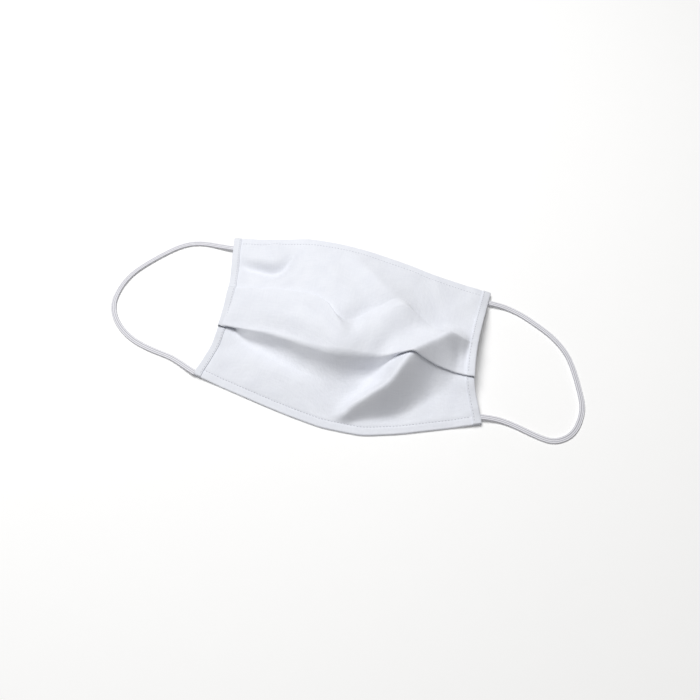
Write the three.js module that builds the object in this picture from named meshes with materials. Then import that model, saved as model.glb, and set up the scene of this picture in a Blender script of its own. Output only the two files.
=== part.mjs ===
// Pleated cotton face mask, lying face up with its box pleat opened into a dome.
// Millimetres, +Z up, X along the mask, +Y towards the nose edge.
// The cloth is one folded sheet: its plies are laid out in a flat state, a section at a time,
// and every piece is then lifted by the same drape, so that stacked plies keep their gap.

import * as THREE from 'three';
import { mergeVertices } from 'three/addons/utils/BufferGeometryUtils.js';

// Driving dimensions
const MASK_LENGTH = 216;      // corner to corner along the nose edge
const MASK_WIDTH = 120;       // along a side, with the pleat closed
const DOME_HEIGHT = 36;       // highest visible cloth above the surface
const CLOTH_THICKNESS = 1.1;
const PLY_GAP = 0.4;          // air between two plies that lie on each other
const TUCK_DEPTH = 15;        // how far the pleat's hidden plies reach under the band
const HEM_DEPTH = 7.5;        // cloth turned under along the nose and chin edges
const REST_DEPTH = 5.5;       // flat of the chin hem that lies on the surface
const STRIP_WIDTH = 6.5;      // binding strip on each side, front and back
const ELASTIC_WIDTH = 4.2;
const ELASTIC_THICKNESS = 1.5;

// Values that follow
const HALF_LENGTH = MASK_LENGTH / 2;
const HALF_WIDTH = MASK_WIDTH / 2;
const PITCH = CLOTH_THICKNESS + PLY_GAP;
const CREASE_RADIUS = PITCH / 2;
const CREASE_REACH = CREASE_RADIUS + CLOTH_THICKNESS / 2;
const CLOTH_INSET = CLOTH_THICKNESS + PLY_GAP;
const BAND_LEVEL = 2 * PITCH;             // the band lies on a panel and a hidden ply
const TUCK_EDGE_LEVEL = 1.5 * PITCH;      // middle of the crease between hidden ply and band
const STRIP_BACK_LEVEL = -2 * PITCH;      // the strips go under the turned hems
const FLOOR_LEVEL = PITCH + CLOTH_THICKNESS / 2;

// Mesh steps
const COLUMNS = 43;
const EDGE_ARC_STEPS = 3;
const INNER_ARC_STEPS = 2;
const STRIP_STEPS = { upper: 8, band: 6, lower: 8 };

// Outline of the four long lines of the mask, from the left side to the right.
// x is a share of the half length; the others are shares of the half width.
const LINES = [
  { x: -1.0, top: 1.15, upper: 0.30, lower: -0.29, bottom: -1.00 },
  { x: -0.8, top: 1.15, upper: 0.30, lower: -0.32, bottom: -1.08 },
  { x: -0.6, top: 1.18, upper: 0.29, lower: -0.39, bottom: -1.18 },
  { x: -0.4, top: 1.21, upper: 0.27, lower: -0.51, bottom: -1.28 },
  { x: -0.2, top: 1.20, upper: 0.18, lower: -0.62, bottom: -1.35 },
  { x:  0.0, top: 1.17, upper: -0.06, lower: -0.67, bottom: -1.41 },
  { x:  0.2, top: 1.12, upper: 0.10, lower: -0.63, bottom: -1.41 },
  { x:  0.4, top: 1.05, upper: 0.26, lower: -0.53, bottom: -1.34 },
  { x:  0.6, top: 0.99, upper: 0.16, lower: -0.45, bottom: -1.24 },
  { x:  0.8, top: 0.95, upper: 0.05, lower: -0.45, bottom: -1.12 },
  { x:  1.0, top: 0.92, upper: 0.02, lower: -0.45, bottom: -1.00 },
];

// Height of the visible cloth on those lines and half way between them, as shares of the dome.
// The nose and chin lines are given above the height at which they would lie flat.
const HEIGHTS = [
  { x: -1.0, top: 0.00, nose: 0.18, upper: 0.27, crown: 0.27, lower: 0.26, chin: 0.14, bottom: 0.00 },
  { x: -0.8, top: 0.14, nose: 0.30, upper: 0.38, crown: 0.38, lower: 0.36, chin: 0.22, bottom: 0.00 },
  { x: -0.6, top: 0.24, nose: 0.42, upper: 0.50, crown: 0.53, lower: 0.50, chin: 0.28, bottom: 0.00 },
  { x: -0.4, top: 0.33, nose: 0.53, upper: 0.62, crown: 0.70, lower: 0.66, chin: 0.32, bottom: 0.00 },
  { x: -0.2, top: 0.35, nose: 0.64, upper: 0.78, crown: 0.87, lower: 0.80, chin: 0.34, bottom: 0.00 },
  { x:  0.0, top: 0.33, nose: 0.70, upper: 0.90, crown: 0.96, lower: 0.87, chin: 0.35, bottom: 0.00 },
  { x:  0.2, top: 0.29, nose: 0.68, upper: 0.90, crown: 0.94, lower: 0.82, chin: 0.32, bottom: 0.00 },
  { x:  0.4, top: 0.24, nose: 0.56, upper: 0.78, crown: 0.82, lower: 0.68, chin: 0.27, bottom: 0.00 },
  { x:  0.6, top: 0.19, nose: 0.42, upper: 0.60, crown: 0.60, lower: 0.52, chin: 0.22, bottom: 0.00 },
  { x:  0.8, top: 0.12, nose: 0.32, upper: 0.50, crown: 0.49, lower: 0.46, chin: 0.22, bottom: 0.00 },
  { x:  1.0, top: 0.00, nose: 0.26, upper: 0.43, crown: 0.42, lower: 0.38, chin: 0.22, bottom: 0.00 },
];

// The pleat: how far each tuck still reaches under the band, as a share of its depth (below
// zero it is pulled open), and how far it stands up, as a share of the dome.
const PLEAT = [
  { x: -1.0, upperLap: 1.00, upperRise: 0.00, lowerLap: 1.00, lowerRise: 0.00 },
  { x: -0.8, upperLap: 1.00, upperRise: 0.00, lowerLap: 1.00, lowerRise: 0.00 },
  { x: -0.6, upperLap: 0.85, upperRise: 0.00, lowerLap: 0.80, lowerRise: 0.06 },
  { x: -0.4, upperLap: 0.55, upperRise: 0.03, lowerLap: 0.55, lowerRise: 0.13 },
  { x: -0.2, upperLap: 0.15, upperRise: 0.09, lowerLap: 0.35, lowerRise: 0.19 },
  { x:  0.0, upperLap: -0.50, upperRise: 0.08, lowerLap: 0.25, lowerRise: 0.24 },
  { x:  0.2, upperLap: -0.90, upperRise: 0.05, lowerLap: 0.25, lowerRise: 0.25 },
  { x:  0.4, upperLap: -0.50, upperRise: 0.05, lowerLap: 0.35, lowerRise: 0.16 },
  { x:  0.6, upperLap: 0.15, upperRise: 0.05, lowerLap: 0.55, lowerRise: 0.06 },
  { x:  0.8, upperLap: 0.85, upperRise: 0.00, lowerLap: 0.90, lowerRise: 0.00 },
  { x:  1.0, upperLap: 1.00, upperRise: 0.00, lowerLap: 1.00, lowerRise: 0.00 },
];

// How far each side is drawn in by the pleat: y is a share of the half width, the others are
// shares of the half length.
const SIDES = [
  { y: -1.42, left: 1.01, right: 1.05 },
  { y: -1.00, left: 0.99, right: 1.03 },
  { y: -0.75, left: 0.95, right: 0.985 },
  { y: -0.45, left: 0.915, right: 0.935 },
  { y: -0.10, left: 0.907, right: 0.925 },
  { y:  0.25, left: 0.915, right: 0.935 },
  { y:  0.60, left: 0.942, right: 0.953 },
  { y:  0.90, left: 0.975, right: 0.97 },
  { y:  1.25, left: 1.01, right: 0.985 },
];

// Folds and dents that the drape adds. Each runs along a bent line from start over via to end
// (x and y as shares of the half length and half width). rise is a share of the dome, and the
// reach to each side of the line, seen from start to end, is a share of the half width.
const FOLDS = [
  { name: 'nose ridge', start: [0.93, 0.04], via: [0.42, 0.30], end: [-0.08, 1.00],
    rise: 0.12, left: 0.34, right: 0.42, round: 0.02, fade: [0.10, 0.30] },
  { name: 'band ridge', start: [0.30, -0.66], via: [0.58, -0.10], end: [0.92, 0.03],
    rise: 0.12, left: 0.55, right: 0.42, round: 0.03, fade: [0.35, 0.35] },
  { name: 'chin ridge', start: [0.46, -0.30], via: [0.50, -0.86], end: [0.08, -1.36],
    rise: 0.46, left: 0.38, right: 0.80, round: 0.03, fade: [0.35, 0.80] },
  { name: 'cheek dent', start: [-0.84, 0.74], via: [-0.60, 0.46], end: [-0.46, 0.98],
    rise: -0.10, left: 0.20, right: 0.26, round: 0.05, fade: [0.30, 0.30] },
  { name: 'middle dent', start: [-0.02, -0.34], via: [0.06, 0.02], end: [0.34, 0.32],
    rise: -0.10, left: 0.26, right: 0.26, round: 0.05, fade: [0.35, 0.45] },
];
const FOLD_STEPS = 12;
const CORNER_RAMP = 3;        // the corners start to rise this many strip widths from the side
const FOLD_NARROWING = 0.6;   // share of its reach that a fold loses where it fades out
const FOLD_HOLD = 0.1;        // folds die out over this share of the half width at the hems

// Elastic loops: the middle of the band, in the finished frame, from nose end to chin end
const LOOP_LEFT = [
  [-108.75, 65.5, 3], [-118, 66, 2], [-128, 67, 1], [-137, 66.5, 1], [-145, 64, 1], [-152, 60, 1],
  [-159, 54, 1], [-167, 46, 1], [-174, 38, 1], [-181, 29, 1], [-186, 18, 1], [-188, 7, 1],
  [-188, -4, 1], [-183, -15, 1], [-175, -24, 1], [-165, -31, 1], [-156, -35, 1], [-146, -38, 1],
  [-137, -40, 1], [-128, -42, 1], [-118, -47, 1.8], [-108.8, -51.5, 3],
];
const LOOP_RIGHT = [
  [102.9, 52, 3], [112, 51.8, 2], [121, 50, 1], [131, 46, 1], [141, 40, 1], [151, 34, 1],
  [159, 27, 1], [166, 19, 1], [171, 9, 1], [175, -2, 1], [178, -12, 1], [181, -22, 1],
  [181, -31, 1], [179, -41, 1], [175, -49, 1], [169, -54, 1], [162, -57, 1], [154, -56, 1],
  [144, -53, 1], [135, -50, 1], [127, -48, 1.3], [118, -47, 2], [108.9, -48, 3],
];
const LOOP_STEPS = 40;
const LOOP_SIDES = 8;

// A smooth curve through the rows of a table, without overshoot
function readTable(rows, key, column, at) {
  const last = rows.length - 1;
  let i = 0;
  while (i < last - 1 && at > rows[i + 1][key]) i += 1;
  const slope = (k) => (rows[k + 1][column] - rows[k][column]) / (rows[k + 1][key] - rows[k][key]);
  const tangent = (k) => {
    if (k === 0) return slope(0);
    if (k === last) return slope(last - 1);
    const before = slope(k - 1);
    const after = slope(k);
    return before * after <= 0 ? 0 : (2 * before * after) / (before + after);
  };
  const span = rows[i + 1][key] - rows[i][key];
  const t = Math.min(1, Math.max(0, (at - rows[i][key]) / span));
  const u = 1 - t;
  return rows[i][column] * u * u * (1 + 2 * t) + rows[i + 1][column] * t * t * (1 + 2 * u)
    + span * t * u * (tangent(i) * u - tangent(i + 1) * t);
}

function smoothStep(value) {
  const t = Math.min(1, Math.max(0, value));
  return t * t * (3 - 2 * t);
}

// All lines and heights of the mask at one place along its length
function stationAt(x) {
  const line = (column) => readTable(LINES, 'x', column, x) * HALF_WIDTH;
  const height = (column) => readTable(HEIGHTS, 'x', column, x) * DOME_HEIGHT;
  const pleat = (column) => readTable(PLEAT, 'x', column, x);
  const station = {
    x,
    top: line('top'),
    upper: line('upper'),
    lower: line('lower'),
    bottom: line('bottom'),
    upperLap: pleat('upperLap') * TUCK_DEPTH,
    upperRise: pleat('upperRise') * DOME_HEIGHT,
    lowerLap: pleat('lowerLap') * TUCK_DEPTH,
    lowerRise: pleat('lowerRise') * DOME_HEIGHT,
  };
  // The strips are folded under the corners, which lie one ply higher for it
  const fromSide = (1 - Math.abs(x)) * HALF_LENGTH;
  const corner = PITCH * smoothStep(CORNER_RAMP - fromSide / STRIP_WIDTH);
  const bottomLevel = FLOOR_LEVEL + height('bottom') + corner;
  const topLevel = FLOOR_LEVEL + height('top') + corner;
  const middleRise = (station.upperRise + station.lowerRise) / 2;
  const chin = station.bottom + REST_DEPTH;
  station.ground = [
    { y: station.bottom, z: bottomLevel },
    { y: chin, z: bottomLevel },
    { y: (chin + station.lower) / 2, z: height('chin') },
    { y: station.lower, z: height('lower') - BAND_LEVEL - station.lowerRise },
    { y: (station.lower + station.upper) / 2, z: height('crown') - BAND_LEVEL - middleRise },
    { y: station.upper, z: height('upper') - BAND_LEVEL - station.upperRise },
    { y: (station.upper + station.top) / 2, z: height('nose') },
    { y: station.top, z: topLevel },
  ];
  return station;
}

// The bent line of each fold as short straight steps
const foldPaths = FOLDS.map((fold) => {
  const corner = ([x, y]) => new THREE.Vector2(x * HALF_LENGTH, y * HALF_WIDTH);
  const curve = new THREE.QuadraticBezierCurve(corner(fold.start), corner(fold.via), corner(fold.end));
  return { ...fold, points: curve.getPoints(FOLD_STEPS) };
});

// Height that one fold adds at a place, from its distance to the fold's line
function foldHeight(fold, x, y) {
  let nearest = Infinity;
  let side = 1;
  let along = 0;
  for (let i = 0; i < FOLD_STEPS; i += 1) {
    const a = fold.points[i];
    const b = fold.points[i + 1];
    const dx = b.x - a.x;
    const dy = b.y - a.y;
    const t = Math.min(1, Math.max(0, ((x - a.x) * dx + (y - a.y) * dy) / (dx * dx + dy * dy)));
    const distance = Math.hypot(x - a.x - t * dx, y - a.y - t * dy);
    if (distance < nearest) {
      nearest = distance;
      side = dx * (y - a.y) - dy * (x - a.x);
      along = (i + t) / FOLD_STEPS;
    }
  }
  const ends = smoothStep(along / fold.fade[0]) * smoothStep((1 - along) / fold.fade[1]);
  const narrowing = 1 - FOLD_NARROWING * (1 - ends);
  const reach = (side > 0 ? fold.left : fold.right) * HALF_WIDTH * narrowing;
  const round = fold.round * HALF_WIDTH;
  const off = Math.hypot(nearest, round) - round;
  const slope = Math.max(0, 1 - off / reach);
  return fold.rise * DOME_HEIGHT * slope * slope * ends;
}

// Height of the lowest ply's middle above the surface
function groundHeight(station, y) {
  const x = station.x * HALF_LENGTH;
  const hold = smoothStep((y - station.bottom - REST_DEPTH) / (FOLD_HOLD * HALF_WIDTH))
    * smoothStep((station.top - y) / (FOLD_HOLD * HALF_WIDTH));
  let height = readTable(station.ground, 'y', 'z', y);
  for (const fold of foldPaths) height += foldHeight(fold, x, y) * hold;
  return height;
}

// A flat-state point (place along the length, y, height in the stack) on the finished mask
function drape(station, y, level) {
  const share = y / HALF_WIDTH;
  const right = smoothStep((station.x + 1) / 2);
  const reach = readTable(SIDES, 'y', 'left', share) * (1 - right)
    + readTable(SIDES, 'y', 'right', share) * right;
  return [station.x * HALF_LENGTH * reach, y, groundHeight(station, y) + level];
}

// The folded section of the cloth: creases are small rounds, joined by straight plies.
// turn is 1 where the cloth turns left as it goes from the nose edge to the chin edge.
function clothSection(station) {
  const creases = [
    { y: station.top - CREASE_REACH, level: -PITCH / 2, turn: 1, arc: EDGE_ARC_STEPS, steps: 1 },
    { y: station.upper - CREASE_REACH - station.upperLap, level: PITCH / 2, turn: -1,
      arc: INNER_ARC_STEPS, steps: 9 },
    { y: station.upper - CREASE_REACH, level: TUCK_EDGE_LEVEL + station.upperRise, turn: 1,
      arc: EDGE_ARC_STEPS, steps: 2 },
    { y: station.lower + CREASE_REACH, level: TUCK_EDGE_LEVEL + station.lowerRise, turn: 1,
      arc: EDGE_ARC_STEPS, steps: 9 },
    { y: station.lower + CREASE_REACH + station.lowerLap, level: PITCH / 2, turn: -1,
      arc: INNER_ARC_STEPS, steps: 2 },
    { y: station.bottom + CREASE_REACH, level: -PITCH / 2, turn: 1, arc: EDGE_ARC_STEPS, steps: 11 },
  ];
  // Direction of the straight ply between two neighbouring creases
  const headings = [0];
  for (let i = 0; i + 1 < creases.length; i += 1) {
    const from = creases[i];
    const to = creases[i + 1];
    const dy = to.y - from.y;
    const dz = to.level - from.level;
    const offset = (to.turn - from.turn) * CREASE_RADIUS;
    headings.push(Math.atan2(dz, dy) - Math.asin(offset / Math.hypot(dy, dz)));
  }
  headings.push(0);
  const points = [];
  const add = (y, level, heading) => {
    points.push({ y, level, ny: -Math.sin(heading), nz: Math.cos(heading) });
  };
  add(station.top - HEM_DEPTH, -PITCH, 0);
  creases.forEach((crease, i) => {
    let sweep = headings[i + 1] - headings[i];
    while (sweep * crease.turn < -Math.PI / 2) sweep += 2 * Math.PI * crease.turn;
    while (sweep * crease.turn > 1.5 * Math.PI) sweep -= 2 * Math.PI * crease.turn;
    for (let k = 0; k <= crease.arc; k += 1) {
      const heading = headings[i] + (sweep * k) / crease.arc;
      const radius = CREASE_RADIUS * crease.turn;
      const point = {
        y: crease.y + radius * Math.sin(heading),
        level: crease.level - radius * Math.cos(heading),
      };
      if (k === 0 && i > 0) {
        const last = points[points.length - 1];
        for (let m = 1; m < crease.steps; m += 1) {
          const t = m / crease.steps;
          add(last.y + (point.y - last.y) * t, last.level + (point.level - last.level) * t, heading);
        }
      }
      add(point.y, point.level, heading);
    }
  });
  add(station.bottom + REST_DEPTH, -PITCH, 0);
  add(station.bottom + HEM_DEPTH, -PITCH, 0);
  return points;
}

// A closed body from rings of points, each ring closed on itself, with flat ends
function loftRings(rings, capTriangles) {
  const size = rings[0].length;
  const positions = rings.flat(2);
  const indices = [];
  for (let r = 0; r + 1 < rings.length; r += 1) {
    for (let k = 0; k < size; k += 1) {
      const a = r * size + k;
      const b = r * size + ((k + 1) % size);
      indices.push(a, b, b + size, a, b + size, a + size);
    }
  }
  const end = (rings.length - 1) * size;
  for (const [a, b, c] of capTriangles) {
    indices.push(a, c, b);
    indices.push(end + a, end + b, end + c);
  }
  const geometry = new THREE.BufferGeometry();
  geometry.setAttribute('position', new THREE.Float32BufferAttribute(positions, 3));
  geometry.setIndex(indices);
  return mergeVertices(geometry, 1e-4);
}

function makeCloth() {
  const rings = [];
  let count = 0;
  for (let i = 0; i <= COLUMNS; i += 1) {
    const reach = 1 - CLOTH_INSET / HALF_LENGTH;
    const station = stationAt(reach * (2 * (i / COLUMNS) - 1));
    const section = clothSection(station);
    count = section.length;
    const half = CLOTH_THICKNESS / 2;
    const face = (point, out) => drape(station, point.y + point.ny * out, point.level + point.nz * out);
    const front = section.map((point) => face(point, -half));
    const back = section.map((point) => face(point, half)).reverse();
    rings.push([...front, ...back]);
  }
  const cap = [];
  for (let k = 0; k + 1 < count; k += 1) {
    const far = 2 * count - 1 - k;
    cap.push([k, k + 1, far], [k + 1, far - 1, far]);
  }
  return loftRings(rings, cap);
}

// The strip folded over one side: front ply, outer wall and back ply. It steps over the band.
function makeStrip(side) {
  const low = PITCH;
  const high = BAND_LEVEL + PITCH;
  const half = CLOTH_THICKNESS / 2;
  const stops = [];
  const run = (steps, from, to, level) => {
    for (let k = 0; k < steps; k += 1) {
      const place = (s) => from(s) + ((to(s) - from(s)) * k) / steps;
      stops.push({ under: place, over: place, back: place, level });
    }
  };
  const step = (edge, direction, levels) => {
    const near = (s) => edge(s) + direction * PLY_GAP;
    const far = (s) => edge(s) + direction * (PLY_GAP + CLOTH_THICKNESS);
    for (const level of levels) {
      const inwards = level === high ? (direction * CLOTH_THICKNESS) / 2 : 0;
      stops.push({ under: near, over: far, back: (s) => edge(s) - inwards, level });
    }
  };
  const upperEdge = (s) => s.upper + PLY_GAP + 2 * CLOTH_THICKNESS;
  const upperInner = (s) => s.upper - CLOTH_THICKNESS;
  const lowerInner = (s) => s.lower + CLOTH_THICKNESS;
  const lowerEdge = (s) => s.lower - PLY_GAP - 2 * CLOTH_THICKNESS;
  run(STRIP_STEPS.upper, (s) => s.top, upperEdge, low);
  run(1, upperEdge, upperEdge, low);
  step((s) => s.upper, 1, [low, high]);
  run(STRIP_STEPS.band, upperInner, lowerInner, high);
  run(1, lowerInner, lowerInner, high);
  step((s) => s.lower, -1, [high, low]);
  run(STRIP_STEPS.lower, lowerEdge, (s) => s.bottom, low);
  run(1, (s) => s.bottom, (s) => s.bottom, low);
  const outer = stationAt(side);
  const wall = stationAt(side * (1 - CLOTH_THICKNESS / HALF_LENGTH));
  const inner = stationAt(side * (1 - STRIP_WIDTH / HALF_LENGTH));
  const rings = stops.map((stop) => {
    const top = (s) => drape(s, stop.over(s), stop.level + half);
    const under = (s) => drape(s, stop.under(s), stop.level - half);
    const back = (s, level) => drape(s, stop.back(s), level);
    const ring = [
      back(outer, STRIP_BACK_LEVEL - half), top(outer), top(inner), under(inner),
      under(wall), back(wall, STRIP_BACK_LEVEL + half),
      back(inner, STRIP_BACK_LEVEL + half), back(inner, STRIP_BACK_LEVEL - half),
    ];
    return side > 0 ? ring : ring.reverse();
  });
  const cap = [[0, 1, 4], [1, 2, 3], [1, 3, 4], [0, 4, 5], [0, 5, 7], [5, 6, 7]];
  const mirrored = cap.map((triangle) => triangle.map((k) => 7 - k).reverse());
  return loftRings(rings, side > 0 ? cap : mirrored);
}

// A route that keeps the flat of the elastic level all the way
class LevelRoute extends THREE.CatmullRomCurve3 {
  computeFrenetFrames(steps) {
    const frames = { tangents: [], normals: [], binormals: [] };
    for (let i = 0; i <= steps; i += 1) {
      const tangent = this.getTangentAt(i / steps);
      const across = new THREE.Vector3(tangent.y, -tangent.x, 0).normalize();
      frames.tangents.push(tangent);
      frames.normals.push(across);
      frames.binormals.push(new THREE.Vector3().crossVectors(tangent, across));
    }
    return frames;
  }
}

// Flat elastic with rounded edges, swept along its route
function makeLoop(route) {
  const section = new THREE.Shape();
  for (let k = 0; k < LOOP_SIDES; k += 1) {
    const angle = (2 * Math.PI * (k + 0.5)) / LOOP_SIDES;
    const squared = 1 / Math.max(Math.abs(Math.cos(angle)), Math.abs(Math.sin(angle)));
    const across = (ELASTIC_WIDTH / 2) * Math.cos(angle) * squared;
    const up = (ELASTIC_THICKNESS / 2) * Math.sin(angle) * squared;
    if (k === 0) section.moveTo(across, up);
    else section.lineTo(across, up);
  }
  section.closePath();
  const path = new LevelRoute(route.map((point) => new THREE.Vector3(...point)));
  const geometry = new THREE.ExtrudeGeometry(section, {
    steps: LOOP_STEPS,
    extrudePath: path,
    bevelEnabled: false,
  });
  geometry.deleteAttribute('normal');
  geometry.deleteAttribute('uv');
  return mergeVertices(geometry, 1e-4);
}

const cottonFinish = { color: 0xeef0f6, roughness: 0.9, metalness: 0 };
const elasticFinish = { color: 0xe6e6ec, roughness: 0.75, metalness: 0 };

function makePiece(name, geometry, finish) {
  const piece = new THREE.Mesh(geometry, new THREE.MeshStandardMaterial(finish));
  piece.name = name;
  return piece;
}

const sewn = new THREE.Group();
sewn.add(makePiece('pleated_cloth', makeCloth(), cottonFinish));
sewn.add(makePiece('side_strip_left', makeStrip(-1), cottonFinish));
sewn.add(makePiece('side_strip_right', makeStrip(1), cottonFinish));

// The origin is on the surface, under the middle of the sewn part
const extent = new THREE.Box3().setFromObject(sewn);
sewn.position.set(
  -(extent.min.x + extent.max.x) / 2,
  -(extent.min.y + extent.max.y) / 2,
  -extent.min.z,
);

const mask = new THREE.Group();
mask.add(sewn);
mask.add(makePiece('ear_loop_left', makeLoop(LOOP_LEFT), elasticFinish));
mask.add(makePiece('ear_loop_right', makeLoop(LOOP_RIGHT), elasticFinish));

export default mask;
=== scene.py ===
"""A pleated cotton face mask with elastic ear loops, lying face up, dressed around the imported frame."""

import logging
import math
from dataclasses import dataclass
from enum import Enum
from typing import Dict, List, Optional, Sequence, Tuple, Union

import bmesh
import bpy
import numpy as np
from mathutils import Matrix, Vector


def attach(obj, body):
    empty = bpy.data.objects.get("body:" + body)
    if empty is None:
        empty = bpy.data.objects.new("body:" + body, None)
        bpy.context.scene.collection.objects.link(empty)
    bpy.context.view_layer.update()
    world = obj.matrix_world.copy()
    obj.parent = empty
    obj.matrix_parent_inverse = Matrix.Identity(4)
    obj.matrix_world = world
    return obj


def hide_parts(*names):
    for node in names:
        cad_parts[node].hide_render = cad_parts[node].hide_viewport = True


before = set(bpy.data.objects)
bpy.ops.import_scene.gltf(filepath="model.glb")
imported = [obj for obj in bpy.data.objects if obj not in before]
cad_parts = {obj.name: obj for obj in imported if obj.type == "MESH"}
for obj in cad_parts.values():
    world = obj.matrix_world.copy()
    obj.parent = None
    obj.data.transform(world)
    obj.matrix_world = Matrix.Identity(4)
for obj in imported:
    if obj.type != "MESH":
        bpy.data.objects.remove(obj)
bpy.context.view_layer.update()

log = logging.getLogger("mask")
MM = 0.001

Point = Tuple[float, float, float]
Value = Union[float, "Wire"]
Inputs = Dict[Union[int, str], object]
Socket = bpy.types.NodeSocket

# Sizes in millimetres. The plan frame has its origin in the middle of the flat mask.
HALF_LENGTH = 108.0
HALF_WIDTH = 60.0
CLOTH = 0.76  # one ply of cotton
PITCH = 1.04  # from one ply to the next
CREASE = PITCH / 2  # radius of a hem's folded edge, to the middle of the ply
REACH = CREASE + CLOTH / 2  # and to its outside
BAND_LEVEL = 2 * PITCH  # of the pleat's band over the panels
HEM = 7.5  # width of each hem
REST = 5.5  # width of the chin hem that lies on the floor
HEM_RISE = 0.8  # of the chin hem's inner edge over the floor
STRIP = 6.5  # width of the side strips on each face
FLOOR_LEVEL = PITCH + CLOTH / 2
CORNER_RAMP = 3.0  # strip widths from a side at which the hems begin to rise towards it
STITCH_LIFT = 0.05  # of the middle of the hems' stitches over the cloth
FOLD_ROOM = 0.98  # share of the room between two creases that their bends may take
PLAN_SHIFT = (-1.6147, 6.0011)  # from the plan frame to the finished one

# The four long lines of the mask: x is a share of the half length, the others of the half width
LINES = {
    "x":      (-1.0, -0.8, -0.6, -0.4, -0.2, 0.0, 0.2, 0.4, 0.5, 0.6, 0.7, 0.8, 1.0),
    "top":    (1.15, 1.16, 1.18, 1.21, 1.20, 1.17, 1.12, 1.06, 1.02, 0.99, 0.97, 0.95, 0.92),
    "upper":  (0.29, 0.30, 0.29, 0.26, 0.14, -0.16, 0.04, 0.28, 0.21, 0.12, 0.01, -0.02, 0.03),
    "lower":  (-0.28, -0.31, -0.36, -0.45, -0.55, -0.62, -0.57, -0.48, -0.45, -0.43, -0.42, -0.42, -0.45),
    "bottom": (-0.99, -1.08, -1.17, -1.26, -1.34, -1.40, -1.41, -1.34, -1.29, -1.23, -1.17, -1.11, -0.99),
}

# Height of the visible cloth in millimetres: on the upper three lines, and half way between the lines
HEIGHTS = {
    "top":    (0, 5, 8.6, 12, 12.6, 12, 10.4, 8.6, 7.7, 6.8, 5.5, 4.3, 0),
    "nose":   (6.5, 10.8, 15, 19, 22.5, 24, 22.5, 18.5, 16.5, 15, 13.8, 12.6, 10),
    "upper":  (10, 13.5, 18, 23, 28, 31.5, 30, 25.5, 22.5, 19.5, 17.5, 16.5, 15.5),
    "crown":  (10, 13.5, 18.5, 24, 29, 32, 30.5, 25.5, 21, 16, 12.5, 12, 15),
    "lower":  (9, 11, 15, 19.5, 24, 28, 26.5, 20, 14.5, 10.5, 9, 10, 13.5),
    "chin":   (4, 5, 6, 6.5, 7, 7, 6, 4.5, 4, 3.5, 3.5, 4, 6),
}

# The pleat in millimetres: width of each tuck, below 0 where it is drawn open, how far it stands up,
# and the radius of its folded edges; inner_round is the lower tuck's hidden one
PLEAT = {
    "upper_lap":   (15, 15, 13, 8, 2, -8, -14, -8, -2, 4, 8, 9.5, 11.5),
    "upper_rise":  (0, 0, 0, 0.8, 2.0, 1.8, 1.0, 1.4, 1.8, 1.5, 1.0, 0.5, 0),
    "upper_round": (0.45, 0.45, 0.45, 0.5, 0.9, 2.6, 4.0, 2.2, 0.8, 0.6, 0.5, 0.45, 0.45),
    "lower_lap":   (15, -6, -12.5, -15.5, -16.5, -16.5, -13.5, -3, 3, 7, 9, 10, 12.5),
    "lower_rise":  (0, 4.5, 10, 12, 11.6, 11.2, 9.2, 3.4, 1.7, 1.5, 1.0, 0.4, 0),
    "lower_round": (0.45, 0.7, 1.6, 2.4, 3.0, 3.5, 3.0, 1.2, 0.7, 0.5, 0.45, 0.45, 0.45),
    "inner_round": (0.45, 3.0, 8.0, 12.0, 12.0, 11.5, 7.5, 1.4, 0.7, 0.5, 0.45, 0.45, 0.45),
}

# How far the sides are drawn in: y is a share of the half width, the others of the half length
SIDES = {
    "y":     (-1.42, -1.00, -0.75, -0.45, -0.10, 0.25, 0.60, 0.90, 1.25),
    "left":  (1.01, 0.99, 0.95, 0.915, 0.907, 0.915, 0.942, 0.975, 1.01),
    "right": (1.05, 1.03, 0.985, 0.935, 0.925, 0.935, 0.953, 0.97, 0.985),
}

# Middle of each elastic band in the finished frame, from its nose end to its chin end
LEFT_ROUTE: Tuple[Point, ...] = (
    (-108.75, 65.5, 3), (-118, 66, 2), (-128, 67, 1), (-137, 66.5, 1), (-145, 64, 1), (-152, 60, 1),
    (-159, 54, 1), (-167, 46, 1), (-174, 38, 1), (-181, 29, 1), (-186, 18, 1), (-188, 7, 1),
    (-188, -4, 1), (-183, -15, 1), (-175, -24, 1), (-165, -31, 1), (-156, -35, 1), (-146, -38, 1),
    (-137, -40, 1), (-128, -42, 1), (-118, -47, 1.8), (-108.8, -51.5, 3),
)
RIGHT_ROUTE: Tuple[Point, ...] = (
    (102.9, 52, 3), (112, 51.8, 2), (121, 50, 1), (131, 46, 1), (141, 40, 1), (151, 34, 1),
    (159, 27, 1), (166, 19, 1), (171, 9, 1), (175, -2, 1), (178, -12, 1), (181, -22, 1),
    (181, -31, 1), (179, -41, 1), (175, -49, 1), (169, -54, 1), (162, -57, 1), (154, -56, 1),
    (144, -53, 1), (135, -50, 1), (127, -48, 1.3), (118, -47, 2), (108.9, -48, 3),
)


class Side(Enum):
    """A side of the mask as it lies, and its sign along X."""

    LEFT = -1
    RIGHT = 1

    @property
    def word(self) -> str:
        """The side's name in piece names."""
        return self.name.lower()


class Slot(Enum):
    """The record's material slots."""

    COTTON = "cotton"
    ELASTIC = "elastic"


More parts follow.
